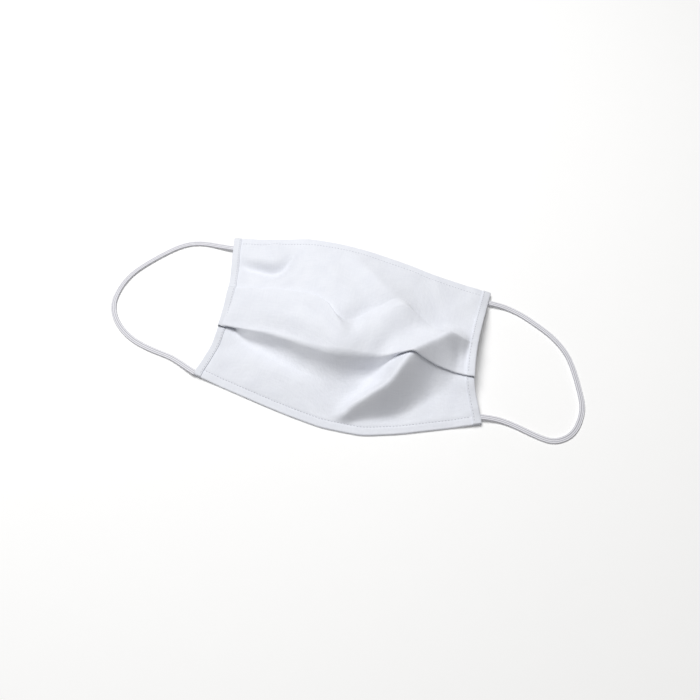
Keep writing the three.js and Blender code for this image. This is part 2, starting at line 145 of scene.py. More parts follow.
def tabled(keys: Sequence[float], values: Sequence[float], at: np.ndarray) -> np.ndarray:
    """A smooth curve through the points of a table, without overshoot.

    Args:
        keys: Rising places of the table.
        values: The value at each place.
        at: Places to read; beyond the ends the end values hold.

    Returns:
        The values at those places.
    """
    keys, values, at = np.asarray(keys, float), np.asarray(values, float), np.asarray(at, float)
    span = np.diff(keys)
    slope = np.diff(values) / span
    before, after = slope[:-1], slope[1:]
    same = before * after > 0
    total = np.where(same, before + after, 1.0)
    tangent = np.concatenate([slope[:1], np.where(same, 2 * before * after / total, 0.0), slope[-1:]])
    i = np.clip(np.searchsorted(keys, at) - 1, 0, len(keys) - 2)
    t = np.clip((at - keys[i]) / span[i], 0, 1)
    u = 1 - t
    return (values[i] * u * u * (1 + 2 * t) + values[i + 1] * t * t * (1 + 2 * u)
            + span[i] * t * u * (tangent[i] * u - tangent[i + 1] * t))


def smooth_step(value: np.ndarray) -> np.ndarray:
    """A soft ramp from 0 to 1 where value goes from 0 to 1."""
    t = np.clip(value, 0, 1)
    return t * t * (3 - 2 * t)


def long_line(name: str, share: np.ndarray) -> np.ndarray:
    """The y of one of the mask's long lines at places along it, in plan millimetres."""
    return tabled(LINES["x"], LINES[name], share) * HALF_WIDTH


def between(a: np.ndarray, b: np.ndarray, c: np.ndarray, d: np.ndarray, t: np.ndarray) -> np.ndarray:
    """The place a share t of the way from b to c on the smooth curve through all four points."""
    return 0.5 * (2 * b + (c - a) * t + (2 * a - 5 * b + 4 * c - d) * t ** 2
                  + (3 * b - a - 3 * c + d) * t ** 3)


def with_ends(knots: np.ndarray) -> np.ndarray:
    """The points of a line with one more beyond each end, straight on."""
    return np.vstack([2 * knots[0] - knots[1], knots, 2 * knots[-1] - knots[-2]])


def bell_curve(reach: int, softness: float) -> np.ndarray:
    """Weights of a blur with that standard deviation, from -reach to reach."""
    weights = np.exp(-0.5 * (np.arange(-reach, reach + 1) / softness) ** 2)
    return weights / weights.sum()


def run_length(line: np.ndarray) -> np.ndarray:
    """Length of a line from its start to each of its points."""
    return np.concatenate([[0], np.cumsum(np.linalg.norm(np.diff(line, axis=0), axis=1))])


@dataclass(frozen=True)
class Fold:
    """A ridge or dent in the cloth along a bent line.

    Each place gives its shares of the half length and half width, the height that the fold adds
    there, and how far it reaches to the left and right of the line, in millimetres.
    """

    SHARPNESS = 12.0  # of the choice of the nearest part of the line
    LEAST = 0.5  # millimetres that keep this choice soft on the line itself

    places: Tuple[Tuple[float, float, float, float, float], ...]
    rounding: float = 1.2  # half width of the crest's round top, in millimetres
    fullness: Tuple[float, float] = (0.0, 0.0)  # how far the left and right flanks bulge
    steps: int = 6  # straight pieces between two places

    def line(self) -> np.ndarray:
        """The fold's line and its values, in millimetres: smooth through its places."""
        rows = np.array(self.places, float) * (HALF_LENGTH, HALF_WIDTH, 1, 1, 1)
        ends = with_ends(rows)
        keys = np.arange(len(rows))
        at = np.linspace(0, len(rows) - 1, self.steps * (len(rows) - 1) + 1)
        whole = np.minimum(at.astype(int), len(rows) - 2)
        t = (at - whole)[:, None]
        a, b, c, d = (ends[whole + k, :2] for k in range(4))
        return np.column_stack([between(a, b, c, d, t)] + [tabled(keys, rows[:, k], at) for k in (2, 3, 4)])

    def height(self, x: np.ndarray, y: np.ndarray) -> np.ndarray:
        """Height that the fold adds.

        Args:
            x: Places along the mask in plan millimetres.
            y: Places across the mask in plan millimetres.

        Returns:
            The height at each place, in millimetres.
        """
        line = self.line()
        start = line[:-1].reshape(-1, 5, *[1] * np.ndim(x))
        step = np.diff(line, axis=0).reshape(start.shape)
        x, y = x - start[:, 0], y - start[:, 1]
        dx, dy = step[:, 0], step[:, 1]
        s = np.clip((x * dx + y * dy) / (dx * dx + dy * dy), 0, 1)
        distance = np.hypot(x - s * dx, y - s * dy)
        closest = distance.min(axis=0)
        weight = np.exp(-self.SHARPNESS * (distance / (closest + self.LEAST) - 1))
        weight /= weight.sum(axis=0)
        nearest = (weight * distance).sum(axis=0)
        rise, left, right = ((weight * (start[:, k] + step[:, k] * s)).sum(axis=0) for k in (2, 3, 4))
        at = distance.argmin(axis=0)[None]
        on_left = np.take_along_axis(dx * y - dy * x, at, axis=0)[0] > 0
        off = np.hypot(nearest, self.rounding) - self.rounding
        slope = np.clip(1 - off / np.where(on_left, left, right), 0, None)
        return rise * slope * slope * (1 + 2 * np.where(on_left, *self.fullness) * (1 - slope))


FOLDS: Tuple[Fold, ...] = (
    # chin ridge, which runs on as the band ridge
    Fold(((0.07, -1.38, 0, 8, 6), (0.13, -1.18, 9.5, 12, 7), (0.24, -1.03, 17, 17, 11),
          (0.37, -0.86, 24, 22, 16.5), (0.46, -0.64, 26, 26, 22), (0.53, -0.45, 23.5, 27, 27),
          (0.62, -0.28, 20, 26, 29), (0.72, -0.14, 17, 23, 28), (0.81, -0.02, 12, 17, 19),
          (0.95, 0.01, 0, 10, 12)), 0.9, (0, 0.4)),
    # nose ridge
    Fold(((-0.14, 1.14, 0, 14, 10), (0.02, 0.83, 2.8, 18, 14), (0.18, 0.56, 3.9, 20, 15),
          (0.36, 0.30, 3.3, 18, 14), (0.54, 0.08, 1.4, 14, 12), (0.67, -0.02, 0, 10, 10)),
         3, (0, 0.4)),
    # dent of the band beside the right strip
    Fold(((0.925, 0.08, 0, 4, 2), (0.925, -0.08, -1.6, 4, 2), (0.92, -0.32, -1.8, 4, 2),
          (0.93, -0.50, 0, 4, 2)), 0.5),
    # crease and dent in the middle of the band
    Fold(((-0.40, 0.23, 0, 8, 6), (-0.22, 0.18, 1.2, 12, 8), (-0.12, 0.03, 2.4, 14, 9),
          (-0.06, -0.15, 2.2, 14, 9), (0.03, -0.35, 0, 10, 8)), 0.8),
    Fold(((0.05, -0.33, 0, 8, 12), (0.07, -0.10, -2.8, 12, 20), (0.12, 0.10, -3.6, 14, 26),
          (0.25, 0.25, -1.8, 12, 20), (0.40, 0.36, 0, 8, 10)), 2.5),
    # cheek dent, with the ridge beside it
    Fold(((-0.98, 0.70, 0, 9, 10), (-0.90, 0.68, -3.8, 9, 15), (-0.79, 0.66, -6.8, 8.5, 19),
          (-0.67, 0.62, -7.2, 8.5, 18), (-0.58, 0.68, -6.2, 8.5, 14), (-0.52, 0.86, -3.4, 8.5, 9),
          (-0.49, 1.04, 0, 8, 8)), 1.6),
    Fold(((-0.72, 1.15, 0, 8, 8), (-0.66, 0.98, 2, 9, 10), (-0.64, 0.84, 1, 8, 9),
          (-0.66, 0.70, 0, 8, 8))),
    # small dent in the band, and a ripple above it
    Fold(((-0.39, 0.13, 0, 6, 6), (-0.29, -0.01, -0.9, 8, 8), (-0.21, -0.17, 0, 6, 6)), 1.6),
    Fold(((-0.29, 0.80, 0, 5, 5), (-0.19, 0.64, 0.35, 5, 5), (-0.08, 0.46, 0, 5, 5))),
)


@dataclass(frozen=True)
class Station:
    """All lines and heights of the mask at one place along its length, in millimetres."""

    top: float
    upper: float
    lower: float
    bottom: float
    pleat: Dict[str, float]
    knots: Tuple[np.ndarray, np.ndarray]

    @classmethod
    def at(cls, share: float) -> "Station":
        """Reads the tables.

        Args:
            share: Place along the mask, from -1 to 1.

        Returns:
            The station at that place.
        """
        def read(table: Dict[str, Sequence[float]], unit: float = 1.0) -> Dict[str, float]:
            return {name: float(tabled(LINES["x"], values, share)) * unit
                    for name, values in table.items() if name != "x"}

        lines, height, pleat = read(LINES, HALF_WIDTH), read(HEIGHTS), read(PLEAT)
        top, upper, lower, bottom = (lines[name] for name in ("top", "upper", "lower", "bottom"))
        corner = PITCH * float(smooth_step(CORNER_RAMP - (1 - abs(share)) * HALF_LENGTH / STRIP))
        low = FLOOR_LEVEL + corner
        chin = bottom + REST
        under_upper, under_lower = BAND_LEVEL + pleat["upper_rise"], BAND_LEVEL + pleat["lower_rise"]
        places = (bottom, chin, (chin + lower) / 2, lower, (lower + upper) / 2, upper,
                  (upper + top) / 2, top)
        heights = (low, low + HEM_RISE, height["chin"], height["lower"] - under_lower,
                   height["crown"] - (under_upper + under_lower) / 2,
                   height["upper"] - under_upper, height["nose"],
                   FLOOR_LEVEL + height["top"] + corner)
        return cls(top, upper, lower, bottom, pleat, (np.array(places), np.array(heights)))


class Drape:
    """The shape in which the mask lies: the ground height under its plies, and its side lines."""

    X_END = 112.0
    Y_LOW = -98.0
    Y_HIGH = 88.0
    STEP = 1.0
    SOFTNESS = 2.2  # standard deviation of the blur that takes the tables' corners off
    FOLD_SOFTNESS = 1.0  # and of the blur of the folds
    WAVE_LENGTH = 4.5  # of the cloth's slight waves, as the standard deviation of their blur
    WAVE_HEIGHT = 0.24
    WAVE_SEED = 7
    FADE = 0.1 * HALF_WIDTH  # width beside each hem over which the folds fade in

    def __init__(self, folds: Sequence[Fold]) -> None:
        """Tabulates the ground height and the folds on a fine grid and softens them."""
        xs = np.arange(-self.X_END, self.X_END + self.STEP, self.STEP)
        ys = np.arange(self.Y_LOW, self.Y_HIGH + self.STEP, self.STEP)
        rows = []
        for x in xs:
            knots = Station.at(float(np.clip(x / HALF_LENGTH, -1, 1))).knots
            rows.append(tabled(*knots, ys))
        self.field = self.softened(np.array(rows), self.SOFTNESS)
        x, y = np.meshgrid(xs, ys, indexing="ij")
        self.relief = self.softened(sum(fold.height(x, y) for fold in folds), self.FOLD_SOFTNESS)
        waves = self.softened(np.random.default_rng(self.WAVE_SEED).normal(size=x.shape), self.WAVE_LENGTH)
        self.relief += self.WAVE_HEIGHT * waves / waves.std()

    @staticmethod
    def softened(values: np.ndarray, softness: float) -> np.ndarray:
        """A grid of heights blurred along both axes."""
        reach = int(4 * softness)
        bell = bell_curve(reach, softness)
        values = np.pad(values, reach, mode="edge")
        for axis in (0, 1):
            values = np.apply_along_axis(lambda r: np.convolve(r, bell, "valid"), axis, values)
        return values

    def read(self, values: np.ndarray, x: np.ndarray, y: np.ndarray) -> np.ndarray:
        """Height from a grid through a cubic B-spline.

        Args:
            values: The grid.
            x: Places along the mask in plan millimetres.
            y: Places across the mask in plan millimetres.

        Returns:
            The height at each place.
        """
        def taps(at: np.ndarray, low: float, count: int) -> Tuple[np.ndarray, List[np.ndarray]]:
            place = np.clip((at - low) / self.STEP, 1, count - 3)
            whole = np.floor(place).astype(int)
            f = place - whole
            return whole, [(1 - f) ** 3 / 6, (3 * f ** 3 - 6 * f ** 2 + 4) / 6,
                           (-3 * f ** 3 + 3 * f ** 2 + 3 * f + 1) / 6, f ** 3 / 6]

        i, across = taps(np.asarray(x, float), -self.X_END, values.shape[0])
        j, along = taps(np.asarray(y, float), self.Y_LOW, values.shape[1])
        total = np.zeros(np.broadcast(i, j).shape)
        for a in range(4):
            for b in range(4):
                total = total + values[i + a - 1, j + b - 1] * across[a] * along[b]
        return total

    def ground(self, share: np.ndarray, y: np.ndarray) -> np.ndarray:
        """Height of the middle of the lowest ply.

        Args:
            share: Places along the mask, from -1 to 1.
            y: Places across the mask in plan millimetres.

        Returns:
            The height at each place, in millimetres.
        """
        x = share * HALF_LENGTH
        hold = (smooth_step((y - long_line("bottom", share) - REST) / self.FADE)
                * smooth_step((long_line("top", share) - y) / self.FADE))
        return self.read(self.field, x, y) + self.read(self.relief, x, y) * hold

    def place(self, share: np.ndarray, y: np.ndarray, level: np.ndarray) -> np.ndarray:
        """Points of the flat state on the finished mask.

        Args:
            share: Places along the mask, from -1 to 1.
            y: Places across the mask in plan millimetres.
            level: Heights in the stack of plies.

        Returns:
            The points in the finished frame, in metres, with the axis last.
        """
        share, y, level = np.broadcast_arrays(share, y, level)
        right = smooth_step((share + 1) / 2)
        reach = (tabled(SIDES["y"], SIDES["left"], y / HALF_WIDTH) * (1 - right)
                 + tabled(SIDES["y"], SIDES["right"], y / HALF_WIDTH) * right)
        x = share * HALF_LENGTH * reach + PLAN_SHIFT[0]
        return np.stack([x, y + PLAN_SHIFT[1], self.ground(share, y) + level], -1) * MM


# Meshes

def grid_object(name: str, points: np.ndarray, flat: np.ndarray, closed: bool = False) -> bpy.types.Object:
    """A sheet or tube from a bmesh grid whose vertices are moved into place.

    Args:
        name: Name of the piece.
        points: Places in metres, as rows by columns by 3.
        flat: Place of each vertex in the flat cut in millimetres, as rows by columns by 2.
        closed: Whether the columns close to a tube, whose ends are then filled.

    Returns:
        The new object, linked to the scene.
    """
    rows, columns = points.shape[:2]
    bm = bmesh.new()
    bmesh.ops.create_grid(bm, x_segments=columns - 1, y_segments=rows - 1, size=1.0)
    uv = bm.loops.layers.uv.new("flat")
    for vertex in bm.verts:
        column = round((vertex.co.x + 1) / 2 * (columns - 1))
        row = round((vertex.co.y + 1) / 2 * (rows - 1))
        vertex.co = points[row, column]
        place = flat[row, column]
        for loop in vertex.link_loops:
            loop[uv].uv = place
    if closed:
        bmesh.ops.remove_doubles(bm, verts=bm.verts, dist=1e-7)
        bmesh.ops.holes_fill(bm, edges=[e for e in bm.edges if e.is_boundary], sides=0)
        bmesh.ops.recalc_face_normals(bm, faces=bm.faces)
    return finished(name, bm)


def finished(name: str, bm: bmesh.types.BMesh) -> bpy.types.Object:
    """Turns a bmesh into a smooth-shaded object at the origin and frees it."""
    mesh = bpy.data.meshes.new(name)
    bm.to_mesh(mesh)
    bm.free()
    mesh.polygons.foreach_set("use_smooth", [True] * len(mesh.polygons))
    return linked(name, mesh)


def linked(name: str, data: bpy.types.ID) -> bpy.types.Object:
    """A new object with that data, linked to the scene."""
    made = bpy.data.objects.new(name, data)
    bpy.context.scene.collection.objects.link(made)
    return made


# Materials

@dataclass(frozen=True)
class Wire:
    """A socket of numbers on which shader maths is written as plain expressions."""

    bench: "Bench"
    socket: Socket

    def _math(self, operation: str, *values: Value) -> "Wire":
        """Adds one Math node."""
        return self.bench.number("ShaderNodeMath", {"operation": operation}, dict(enumerate(values)))

    def __add__(self, other: Value) -> "Wire":
        """Sum."""
        return self._math("ADD", self, other)

    def __sub__(self, other: Value) -> "Wire":
        """Difference."""
        return self._math("SUBTRACT", self, other)

    def __rsub__(self, other: Value) -> "Wire":
        """Difference from a number."""
        return self._math("SUBTRACT", other, self)

    def __mul__(self, other: Value) -> "Wire":
        """Product."""
        return self._math("MULTIPLY", self, other)

    __radd__ = __add__
    __rmul__ = __mul__

    def sine(self) -> "Wire":
        """Sine of an angle in radians."""
        return self._math("SINE", self)

    def ramp(self, low: float, high: float) -> "Wire":
        """0 below low and 1 above high, soft between."""
        settings = {"interpolation_type": "SMOOTHSTEP"}
        return self.bench.number("ShaderNodeMapRange", settings, {0: self, 1: low, 2: high})


class Bench:
    """The node tree of one material, with one way to add a node."""

    def __init__(self, name: str) -> None:
        """Starts an empty material."""
        self.material = bpy.data.materials.new(name)
        self.material.use_nodes = True
        self.tree = self.material.node_tree
        self.tree.nodes.clear()

    def add(self, kind: str, settings: Dict[str, object], inputs: Inputs) -> bpy.types.Node:
        """Adds a node.

        Args:
            kind: The node's type.
            settings: Its properties, set first.
            inputs: Values or links of its sockets, by index or name.

        Returns:
            The node.
        """
        node = self.tree.nodes.new(kind)
        for key, value in settings.items():
            setattr(node, key, value)
        for key, value in inputs.items():
            if isinstance(value, Wire):
                value = value.socket
            if isinstance(value, Socket):
                self.tree.links.new(value, node.inputs[key])
            else:
                node.inputs[key].default_value = value
        return node

    def number(self, kind: str, settings: Dict[str, object], inputs: Inputs) -> Wire:
        """Adds a node and returns its first output for use in expressions."""
        return Wire(self, self.add(kind, settings, inputs).outputs[0])

    def flat_place(self) -> Tuple[Wire, Wire, Socket]:
        """Place in the flat cut, in millimetres: along, across and both as a vector."""
        uv = self.add("ShaderNodeUVMap", {"uv_map": "flat"}, {}).outputs[0]
        parts = self.add("ShaderNodeSeparateXYZ", {}, {0: uv})
        return Wire(self, parts.outputs[0]), Wire(self, parts.outputs[1]), uv

    def place(self) -> Socket:
        """Place in the object's own frame, in metres."""
        return self.add("ShaderNodeTexCoord", {}, {}).outputs["Object"]

    def noise(self, vector: Socket, scale: float, detail: float = 3.0) -> Wire:
        """Soft noise around 0.5."""
        return self.number("ShaderNodeTexNoise", {}, {"Vector": vector, "Scale": scale, "Detail": detail})

    def stretched(self, vector: Socket, scale: Point) -> Socket:
        """The vector with its axes scaled, for streaks along threads."""
        return self.add("ShaderNodeMapping", {}, {0: vector, 3: scale}).outputs[0]

    def colours(self, factor: Wire, dark: Sequence[float], light: Sequence[float]) -> Socket:
        """A mix of two colours."""
        inputs: Inputs = {0: factor, 6: (*dark, 1.0), 7: (*light, 1.0)}
        return self.add("ShaderNodeMix", {"data_type": "RGBA"}, inputs).outputs[2]

    def bump(self, height: Wire, strength: float, distance: float,
             normal: Optional[Socket] = None) -> Socket:
        """Relief from a height, on top of an earlier relief where there is one."""
        inputs: Inputs = {"Height": height, "Strength": strength, "Distance": distance}
        if normal is not None:
            inputs["Normal"] = normal
        return self.add("ShaderNodeBump", {}, inputs).outputs[0]

    def finish(self, inputs: Inputs) -> bpy.types.Material:
        """Adds the surface shader with those inputs and returns the material."""
        shader = self.add("ShaderNodeBsdfPrincipled", {}, inputs)
        self.add("ShaderNodeOutputMaterial", {}, {0: shader.outputs[0]})
        return self.material


@dataclass(frozen=True)
class CottonFinish:
    """Plain woven cotton, slightly blue white, matt, with slubs and a fine weave."""

    name: str = "cotton_weave"
    light: Point = (0.81, 0.83, 0.885)
    dark: Point = (0.745, 0.765, 0.83)
    thread: float = 0.42  # pitch of the threads in millimetres
    slub: Tuple[float, float] = (1.6, 0.06)  # scale of the slubs across and along a thread
    cloud: float = 0.06  # and of the broad unevenness
    crumple: float = 0.35  # and of the small dents
    crumple_depth: float = 0.0006  # in metres, as the next one
    weave_depth: float = 0.00012
    roughness: float = 0.92

    def make(self) -> bpy.types.Material:
        """Builds the node material."""
        bench = Bench(self.name)
        along, across, uv = bench.flat_place()
        turn = math.pi / self.thread
        weave = (along * turn).sine() * (across * turn).sine()
        warp = bench.noise(bench.stretched(uv, (*self.slub, 1.0)), 1.0)
        weft = bench.noise(bench.stretched(uv, (*self.slub[::-1], 1.0)), 1.0)
        cloudy = bench.noise(uv, self.cloud, 2.0)
        slubs = (warp + weft) * 0.5
        colour = bench.colours((slubs * 0.6 + cloudy * 0.4).ramp(0.3, 0.7), self.dark, self.light)
        relief = bench.bump(weave * 0.5 + slubs * 1.2, 0.35, self.weave_depth)
        relief = bench.bump(bench.noise(uv, self.crumple), 0.45, self.crumple_depth, relief)
        return bench.finish({
            "Base Color": colour, "Roughness": self.roughness, "Specular IOR Level": 0.25,
            "Sheen Weight": 0.25, "Sheen Roughness": 0.6, "Normal": relief,
        })


@dataclass(frozen=True)
class ElasticFinish:
    """White knitted elastic with small stitches along its ribs, and shade painted into the grooves between
    its ribs.
    """

    name: str = "elastic_knit"
    light: Point = (0.88, 0.88, 0.92)
    dark: Point = (0.42, 0.42, 0.47)
    pitch: float = 0.7  # of the stitches along the band, in millimetres
    pitch_across: float = 0.55
    rib_pitch: float = 1.45
    rib_middle: float = 2.54  # distance round the band at which its top face has its middle rib
    fuzz: float = 1.4  # scale of the loose fibres
    knit_depth: float = 0.0002  # in metres
    roughness: float = 0.7

    def make(self) -> bpy.types.Material:
        """Builds the node material."""
        bench = Bench(self.name)
        along, across, uv = bench.flat_place()
        slant = along * (2 * math.pi / self.pitch) + across * (2 * math.pi / self.pitch_across)
        knit = slant.sine() * 0.5 + 0.5
        fuzz = bench.noise(uv, self.fuzz)
        # painted shade: the colour darkens towards the grooves between the ribs, all round the band
        rib = ((across - (self.rib_middle - self.rib_pitch / 4)) * (2 * math.pi / self.rib_pitch)).sine()
        painted_shade_and_tone = rib * 0.25 + 0.25 + knit * 0.2 + fuzz * 0.3
        colour = bench.colours(painted_shade_and_tone.ramp(0.2, 0.75), self.dark, self.light)
        relief = bench.bump(knit * 0.6 + fuzz * 0.6, 0.4, self.knit_depth)
        return bench.finish({
            "Base Color": colour, "Roughness": self.roughness, "Specular IOR Level": 0.3,
            "Sheen Weight": 0.15, "Sheen Roughness": 0.5, "Normal": relief,
        })


@dataclass(frozen=True)
class ThreadFinish:
    """Sewing thread with a twist, painted grey, darker than the cotton: the shade of its stitch holes
    painted into it.
    """

    name: str = "sewing_thread_shaded"
    # painted shade: both colours are grey, for the shade in the stitch holes
    light: Point = (0.54, 0.55, 0.61)
    dark: Point = (0.40, 0.41, 0.46)
    twist: float = 2500.0  # scale of the twist's noise, for each metre
    depth: float = 0.0001  # in metres

    def make(self) -> bpy.types.Material:
        """Builds the node material."""
        bench = Bench(self.name)
        twist = bench.noise(bench.place(), self.twist, 1.0)
        colour = bench.colours(twist.ramp(0.35, 0.65), self.dark, self.light)
        return bench.finish({
            "Base Color": colour, "Roughness": 0.7, "Specular IOR Level": 0.3,
            "Normal": bench.bump(twist, 0.3, self.depth),
        })


@dataclass(frozen=True)
class FloorFinish:
    """Matt white paper under the mask."""

    name: str = "paper_floor"
    light: Point = (0.90, 0.90, 0.90)
    dark: Point = (0.89, 0.89, 0.89)
    grain: float = 60.0
    glow: float = 0.085  # light that the bright room adds

    def make(self) -> bpy.types.Material:
        """Builds the node material."""
        bench = Bench(self.name)
        grain = bench.noise(bench.place(), self.grain)
        return bench.finish({
            "Base Color": bench.colours(grain, self.dark, self.light), "Roughness": 0.9,
            "Specular IOR Level": 0.1, "Emission Color": (1, 1, 1, 1), "Emission Strength": self.glow,
        })


@dataclass(frozen=True)
class Wardrobe:
    """The finished materials."""

    cotton: bpy.types.Material
    # the strips' cotton, painted a little darker than the mask's for shade
    strip: bpy.types.Material
    elastic: bpy.types.Material
    thread: bpy.types.Material


def dress(piece: bpy.types.Object, material: bpy.types.Material) -> bpy.types.Object:
    """Gives a piece its material and rides it on the mask's body."""
    piece.data.materials.append(material)
    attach(piece, "root")
    log.info("%s: %d vertices", piece.name, len(piece.data.vertices))
    return piece


# Sub-assemblies

@dataclass(frozen=True)
class Crease:
    """A round fold in the section: its middle, the sense in which it turns, and its radius."""

    y: float
    level: float
    turn: int
    radius: float = CREASE

    @property
    def bend(self) -> float:
        """The radius with the sign of the turn."""
        return self.radius * self.turn


@dataclass
class PleatedCloth:
    """The folded sheet of cotton: hems, nose panel, box pleat and chin panel."""

    NOSE_PANEL = 1  # numbers of the two panels among the plies
    CHIN_PANEL = 5

    drape: Drape
    columns: int = 170
    rows: Tuple[int, ...] = (10, 62, 14, 44, 16, 56)  # of each ply, from the nose hem on
    crowding: float = 1.35  # power by which a panel's rows crowd towards its hem
    hem_rows: Tuple[float, ...] = (1.5, 3.0, 4.3, REST, 6.5, HEM)  # distances from the chin edge
    arc_rows: int = 7
    least_bend: float = 0.7  # shortest way round a crease
    seam: float = 6.2  # from the folded edge to the hem's stitching
    seam_depth: float = 0.24
    seam_width: float = 0.8
    inset: float = 1.0  # of the cloth's raw ends from the mask's sides

    def creases(self, s: Station) -> List[Crease]:
        """The creases from the nose edge to the chin edge."""
        inner, nose = self.radii(s, "upper", "upper")
        chin, fold = self.radii(s, "lower", "inner")
        upper, lower = s.upper - nose - CLOTH / 2, s.lower + chin + CLOTH / 2
        return [
            Crease(s.top - REACH, -PITCH / 2, 1),
            Crease(upper - s.pleat["upper_lap"], inner, -1, inner),
            Crease(upper, BAND_LEVEL + s.pleat["upper_rise"] - nose, 1, nose),
            Crease(lower, BAND_LEVEL + s.pleat["lower_rise"] - chin, 1, chin),
            Crease(lower + s.pleat["lower_lap"], fold, -1, fold),
            Crease(s.bottom + REACH, -PITCH / 2, 1),
        ]

    @staticmethod
    def radii(s: Station, outer: str, inner: str) -> Tuple[float, float]:
        """Radii of a tuck's two creases, small enough for a straight ply between them."""
        height = BAND_LEVEL + s.pleat[f"{outer}_rise"]
        room = FOLD_ROOM * (s.pleat[f"{outer}_lap"] ** 2 + height ** 2) / (2 * height)
        first, second = s.pleat[f"{outer}_round"], s.pleat[f"{inner}_round"]
        share = min(1.0, room / (first + second))
        return first * share, second * share

    def section(self, s: Station) -> np.ndarray:
        """The folded line of the cloth at one station.

        Args:
            s: The station.

        Returns:
            Rows of y, level and length along the cloth, in millimetres.
        """
        creases = self.creases(s)
        headings = [0.0]
        for a, b in zip(creases, creases[1:]):
            dy, dz = b.y - a.y, b.level - a.level
            headings.append(math.atan2(dz, dy) - math.asin((b.bend - a.bend) / math.hypot(dy, dz)))
        headings.append(0.0)
        points: List[Tuple[float, float]] = [(s.top - HEM, -PITCH)]
        for i, crease in enumerate(creases):
            sweep = headings[i + 1] - headings[i]
            while sweep * crease.turn < -math.pi / 2:
                sweep += 2 * math.pi * crease.turn
            while sweep * crease.turn > 1.5 * math.pi:
                sweep -= 2 * math.pi * crease.turn
            arc = self.arc(crease, headings[i], sweep)
            last, first = points[-1], arc[0]
            for m in range(1, self.rows[i]):
                t = self.spread(m / self.rows[i], i)
                points.append((last[0] + (first[0] - last[0]) * t, last[1] + (first[1] - last[1]) * t))
            points.extend(arc)
        points.extend([(s.bottom + d, -PITCH) for d in self.hem_rows])
        line = np.array(points)
        return np.column_stack([line, run_length(line)])

    def arc(self, crease: Crease, heading: float, sweep: float) -> List[Tuple[float, float]]:
        """Points of one crease; where it hardly bends they lie on a short straight piece instead."""
        straight = crease.bend * sweep < self.least_bend
        found = []
        for k in range(self.arc_rows + 1):
            t = k / self.arc_rows
            turned = heading + sweep * (0.5 if straight else t)
            along = (t - 0.5) * self.least_bend if straight else 0.0
            found.append((crease.y + crease.bend * math.sin(turned) + along * math.cos(turned),
                          crease.level - crease.bend * math.cos(turned) + along * math.sin(turned)))
        return found

    def spread(self, t: float, ply: int) -> float:
        """Place of a row in its ply: closer together near the hems, where the seam's groove needs them."""
        if ply == self.NOSE_PANEL:
            return t ** self.crowding
        if ply == self.CHIN_PANEL:
            return 1 - (1 - t) ** self.crowding
        return t

    def points(self) -> Tuple[np.ndarray, np.ndarray]:
        """Places of all vertices, and where they are in the flat cut."""
        shares = np.linspace(-1, 1, self.columns) * (1 - self.inset / HALF_LENGTH)
        lines = np.array([self.section(Station.at(float(x))) for x in shares])
        y, level, length = lines.transpose(2, 1, 0)
        share = np.broadcast_to(shares, y.shape)
        dip = (np.exp(-((long_line("top", share) - self.seam - y) / self.seam_width) ** 2)
               + np.exp(-((y - long_line("bottom", share) - self.seam) / self.seam_width) ** 2))
        level = level - self.seam_depth * dip * (level > -PITCH / 2)
        middle = length[length.shape[0] // 2]
        flat = np.stack([share * HALF_LENGTH, length - middle], -1)
        return self.drape.place(share, y, level), flat

    def build(self, wardrobe: Wardrobe) -> bpy.types.Object:
        piece = grid_object("cotton_cloth", *self.points())
        ply = piece.modifiers.new("ply", "SOLIDIFY")
        ply.thickness = CLOTH * MM
        ply.offset = 0.0
        ply.use_even_offset = True
        dress(piece, wardrobe.cotton)
        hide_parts("pleated_cloth")
        return piece


@dataclass(frozen=True)
class Stretch:
    """One length of a strip: the long lines between which it runs, and how far off them it ends."""

    word: str
    first: str
    second: str
    start: float
    stop: float
    rings: int
    level: float  # of the mask's front there, over its panels

    def y(self, t: float, share: np.ndarray) -> np.ndarray:
        """The y of its ring at a share t of its length, at places along the mask."""
        start, end = long_line(self.first, share), long_line(self.second, share)
        return start + (end - start) * t + (self.start * (1 - t) + self.stop * t)


STRETCHES = (
    Stretch("nose", "top", "upper", -0.2, 0.25, 40, 0.0),
    Stretch("band", "upper", "lower", 0.15, -0.6, 30, BAND_LEVEL),
    Stretch("chin", "lower", "bottom", -0.7, 0.2, 40, 0.0),
)


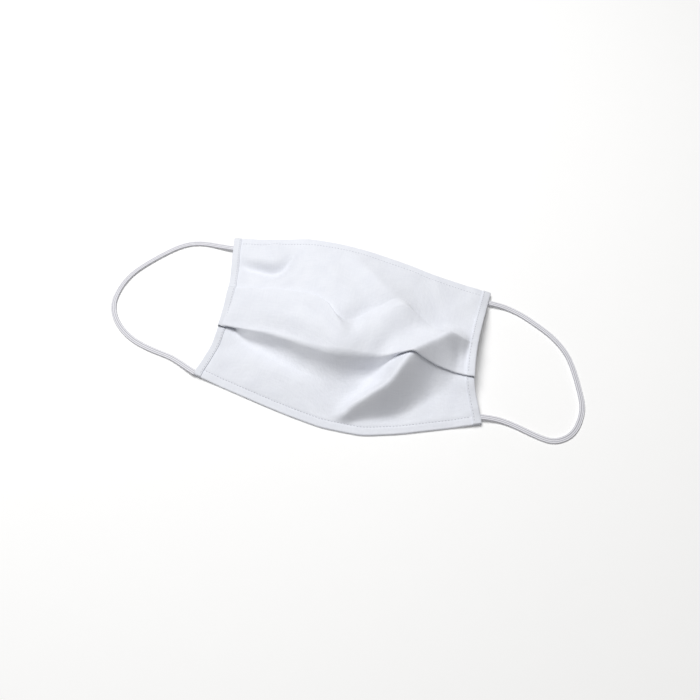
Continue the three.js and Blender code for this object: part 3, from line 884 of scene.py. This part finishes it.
@dataclass
class SideStrip:
    """The cotton strip folded over one side, in three lengths: nose, band and chin."""

    EDGE = ((0.0, 0.3), (0.12, 0.08), (0.4, 0.0))  # its rounded inner edge: how far in and down
    FRONT = (5.2, 4.0, 2.8, 1.9)  # further rows of the front face, from the side
    MIDDLE = 4.0  # row in the middle of the hidden faces
    CORNER = 5  # steps round each corner of the side

    drape: Drape
    side: Side
    thickness: float = 0.6
    bend: float = 1.1  # radius of the corners at the side
    back: float = -2 * PITCH  # level of the back ply
    level: float = 0.76  # of the front ply over the mask's front
    seam: float = 1.2  # from the strip's inner edge to its stitches
    seam_inset: float = 1.2  # of the stitches from the ends of each length

    def ring(self, stretch: Stretch, t: float) -> np.ndarray:
        """One closed section round the side: share along the mask, y and level for each point."""
        front, half = stretch.level + self.level, self.thickness / 2
        low, high = self.back - half, front + half
        bend = min(self.bend, (high - low) / 2)
        arc = [math.pi / 2 * k / self.CORNER for k in range(1, self.CORNER)]
        outer = [(STRIP - d, high - down) for d, down in self.EDGE]
        outer += [(d, high) for d in self.FRONT]
        outer += [(bend * (1 - math.sin(a)), high - bend * (1 - math.cos(a))) for a in arc]
        outer += [(0.0, high - bend), (0.0, low + bend)]
        outer += [(bend * (1 - math.cos(a)), low + bend * (1 - math.sin(a))) for a in arc]
        outer += [(d, low) for d in (self.FRONT[-1], self.MIDDLE, STRIP)]
        outer += [(d, self.back + half) for d in (STRIP, self.MIDDLE, self.thickness)]
        outer += [(d, front - half) for d in (self.thickness, self.MIDDLE, STRIP)]
        d, level = np.array(outer).T
        share = self.side.value * (1 - d / HALF_LENGTH)
        return np.column_stack([share, stretch.y(t, share), level])

    def run(self, stretch: Stretch) -> bpy.types.Object:
        """One length of the strip as a closed tube."""
        rings = np.array([self.ring(stretch, k / stretch.rings) for k in range(stretch.rings + 1)])
        rings = np.concatenate([rings, rings[:, :1]], axis=1)
        points = self.drape.place(rings[..., 0], rings[..., 1], rings[..., 2])
        around = run_length(points[len(points) // 2])
        along = rings[:, :1, 1] + np.zeros(rings.shape[:2])
        flat = np.stack([np.broadcast_to(around / MM, along.shape), along], -1)
        return grid_object(f"{stretch.word}_length", points, flat, closed=True)

    def build(self, wardrobe: Wardrobe) -> bpy.types.Object:
        bm = bmesh.new()
        for length in [self.run(stretch) for stretch in STRETCHES]:
            mesh = length.data
            bm.from_mesh(mesh)
            bpy.data.objects.remove(length)
            bpy.data.meshes.remove(mesh)
        piece = finished(f"cotton_strip_{self.side.word}", bm)
        dress(piece, wardrobe.strip)
        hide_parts(f"side_strip_{self.side.word}")
        return piece

    def stitches(self, wardrobe: Wardrobe) -> List[bpy.types.Object]:
        """The rows of stitches beside the inner edge of each length."""
        share = self.side.value * (1 - (STRIP - self.seam) / HALF_LENGTH)
        surface = self.level + self.thickness / 2
        made = []
        for stretch in STRETCHES:
            start, end = long_line(stretch.first, share), long_line(stretch.second, share)
            y = np.linspace(start - self.seam_inset, end + self.seam_inset, 120)
            line = self.drape.place(np.full_like(y, share), y, np.full_like(y, stretch.level + surface))
            name = f"{self.side.word}_strip_{stretch.word}_stitches"
            made.append(Topstitching(name, line).build(wardrobe))
        return made


@dataclass
class EarLoop:
    """Flat ribbed elastic from the nose corner to the chin corner of one side."""

    side: Side
    route: Sequence[Point]
    width: float = 4.2
    thickness: float = 1.5
    ribs: int = 3
    groove: float = 0.22  # depth between two ribs
    squareness: float = 0.5  # power of the section's rounding: 1 is an ellipse, 0 a rectangle
    tuck_in: float = 2.0  # of each end in the strip
    dense: int = 20  # places between two knots before the blur
    blur: float = 10.0  # standard deviation of the route's blur, in those places
    steps: int = 300
    around: int = 48
    turn: float = 12.0  # degrees by which the band stands up round its outer curve
    turn_start: float = 0.12  # shares of the length between which it does so
    turn_end: float = 0.9
    turn_ramp: float = 0.25  # and the share over which it comes and goes
    clearance: float = 0.05  # least height over the floor
    path_step: int = 3  # places for each one in a sparser path

    def centreline(self) -> np.ndarray:
        """Smooth, evenly spaced places of the band's middle, in millimetres."""
        knots = np.array(self.route, float)
        for end, inner in ((0, 1), (-1, -2)):
            run = knots[inner] - knots[end]
            knots[end] -= run / np.linalg.norm(run) * self.tuck_in
        ends = with_ends(knots)
        dense = []
        for i in range(1, len(ends) - 2):
            for t in np.linspace(0, 1, self.dense, endpoint=False):
                dense.append(between(*ends[i - 1:i + 3], t))
        dense.append(ends[-2])
        line = np.array(dense)
        reach = int(3 * self.blur)
        bell = bell_curve(reach, self.blur)
        padded = np.vstack([2 * line[0] - line[reach:0:-1], line, 2 * line[-1] - line[-2:-2 - reach:-1]])
        line = np.column_stack([np.convolve(padded[:, k], bell, "valid") for k in range(3)])
        length = run_length(line)
        at = np.linspace(0, length[-1], self.steps + 1)
        return np.column_stack([np.interp(at, length, line[:, k]) for k in range(3)])

    def profile(self) -> np.ndarray:
        """The ribbed flat section: across and up for each point round it."""
        angle = 2 * math.pi * np.arange(self.around + 1) / self.around
        across = np.sign(np.cos(angle)) * np.abs(np.cos(angle)) ** self.squareness * self.width / 2
        up = np.sign(np.sin(angle)) * np.abs(np.sin(angle)) ** self.squareness * self.thickness / 2
        rib = 0.5 + 0.5 * np.cos(2 * math.pi * self.ribs * across / self.width)
        groove = self.groove * (1 - rib) * np.clip(np.abs(up) / (self.thickness / 2), 0, 1)
        return np.column_stack([across, up - np.sign(up) * groove])

    def build(self, wardrobe: Wardrobe) -> bpy.types.Object:
        line = self.centreline()
        tangent = np.gradient(line, axis=0)
        tangent /= np.linalg.norm(tangent, axis=1)[:, None]
        level = np.cross(tangent, (0, 0, 1))
        level /= np.linalg.norm(level, axis=1)[:, None]
        upright = np.cross(level, tangent)
        t = np.linspace(0, 1, len(line))
        roll = (np.radians(self.turn) * smooth_step((t - self.turn_start) / self.turn_ramp)
                * smooth_step((self.turn_end - t) / self.turn_ramp))
        cos, sin = np.cos(roll)[:, None], np.sin(roll)[:, None]
        across = level * cos + upright * sin * self.side.value
        up = upright * cos - level * sin * self.side.value
        profile = self.profile()
        points = line[:, None] + across[:, None] * profile[:, :1] + up[:, None] * profile[:, 1:]
        lift = np.clip(self.clearance - points[..., 2].min(axis=1), 0, None)
        points[..., 2] += lift[:, None]
        length = run_length(line)
        flat = np.stack(np.broadcast_arrays(length[:, None], run_length(profile)[None]), -1)
        piece = grid_object(f"elastic_loop_{self.side.word}", points * MM, flat, closed=True)
        dress(piece, wardrobe.elastic)
        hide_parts(f"ear_loop_{self.side.word}")
        return piece


@dataclass
class Topstitching:
    """A row of lockstitches along a line on the cloth."""

    name: str
    line: np.ndarray  # places on the surface, in metres, close together
    pitch: float = 2.4
    stitch: float = 1.5  # length of one stitch
    thread: float = 0.42  # and its thickness

    def build(self, wardrobe: Wardrobe) -> bpy.types.Object:
        """Makes and dresses the stitches."""
        length = run_length(self.line) / MM
        bm = bmesh.new()
        for k in range(int(length[-1] / self.pitch)):
            at = (k + 0.5) * self.pitch
            ends = [Vector([np.interp(at + d, length, self.line[:, c]) for c in range(3)])
                    for d in (-self.stitch / 2, self.stitch / 2)]
            run = ends[1] - ends[0]
            turn = run.to_track_quat("X", "Z").to_matrix().to_4x4()
            shape = Matrix.Diagonal((run.length / 2, self.thread / 2 * MM, self.thread / 2 * MM, 1.0))
            place = Matrix.Translation((ends[0] + ends[1]) / 2) @ turn @ shape
            bmesh.ops.create_uvsphere(bm, u_segments=6, v_segments=5, radius=1.0,
                                      matrix=place @ Matrix.Rotation(math.pi / 2, 4, "Y"))
        return dress(finished(self.name, bm), wardrobe.thread)


@dataclass
class Studio:
    """Camera, soft light and pale floor."""

    target: Point = (3.155, -8.97, 0.0)  # in millimetres, as the distance
    distance: float = 700.0
    azimuth: float = 10.9
    elevation: float = 60.0
    lens: float = 46.95
    window: Point = (-0.38, 0.33, 1.42)  # place of the lamp in metres
    window_size: float = 0.9
    window_power: float = 23.4
    sky: Tuple[float, ...] = (1.0, 0.98, 0.94, 1.0)
    sky_strength: float = 0.17
    floor: float = 3.0  # half of its side in metres

    def camera(self) -> None:
        """Sets the camera at the photograph's angle."""
        az, el = math.radians(self.azimuth), math.radians(self.elevation)
        data = bpy.data.cameras.new("camera")
        data.lens = self.lens
        camera = linked("camera", data)
        away = Vector((math.sin(az) * math.cos(el), -math.cos(az) * math.cos(el), math.sin(el)))
        camera.location = (Vector(self.target) + away * self.distance) * MM
        camera.rotation_euler = away.to_track_quat("Z", "Y").to_euler()
        bpy.context.scene.camera = camera

    def lamp(self) -> None:
        """A square soft lamp that points at the mask."""
        data = bpy.data.lights.new("window", "AREA")
        data.shape = "SQUARE"
        data.size = self.window_size
        data.energy = self.window_power
        lamp = linked("window", data)
        lamp.location = self.window
        lamp.rotation_euler = Vector(self.window).to_track_quat("Z", "Y").to_euler()

    def build(self) -> None:
        """Sets up floor, lamp and sky."""
        bm = bmesh.new()
        bmesh.ops.create_grid(bm, x_segments=8, y_segments=8, size=self.floor)
        floor = finished("paper_floor", bm)
        floor.data.materials.append(FloorFinish().make())
        self.lamp()
        world = bpy.data.worlds.new("sky")
        world.use_nodes = True
        sky = world.node_tree.nodes["Background"]
        sky.inputs[0].default_value = self.sky
        sky.inputs[1].default_value = self.sky_strength
        bpy.context.scene.world = world
        bpy.context.scene.view_settings.view_transform = "Standard"


def seam_line(drape: Drape, line: str, offset: float, level: float, reach: float = 0.93) -> np.ndarray:
    """A line on the cloth beside one of the mask's long lines, in metres."""
    share = np.linspace(-reach, reach, 400)
    return drape.place(share, long_line(line, share) + offset, np.full_like(share, level))


def main() -> None:
    """Builds the mask from its camera and loops to its stitches."""
    logging.basicConfig(level=logging.INFO, format="%(message)s")
    studio = Studio()
    studio.camera()
    # painted shade: the strips' cotton is the mask's cotton made about five per cent darker
    shaded_strip_cotton = CottonFinish("cotton_strip_shaded", (0.77, 0.79, 0.845), (0.71, 0.73, 0.785))
    wardrobe = Wardrobe(CottonFinish().make(), shaded_strip_cotton.make(), ElasticFinish().make(),
                        ThreadFinish().make())
    EarLoop(Side.LEFT, LEFT_ROUTE).build(wardrobe)
    EarLoop(Side.RIGHT, RIGHT_ROUTE).build(wardrobe)
    drape = Drape(FOLDS)
    cloth = PleatedCloth(drape)
    sheet = cloth.build(wardrobe)
    surface = CLOTH / 2 - cloth.seam_depth + STITCH_LIFT
    hems = [
        Topstitching("nose_hem_stitches", seam_line(drape, "top", -cloth.seam, surface)).build(wardrobe),
        Topstitching("chin_hem_stitches", seam_line(drape, "bottom", cloth.seam, surface)).build(wardrobe),
    ]
    for side in Side:
        strip = SideStrip(drape, side)
        piece = strip.build(wardrobe)
        strip.stitches(wardrobe)
    studio.build()


if __name__ == "__main__":
    main()
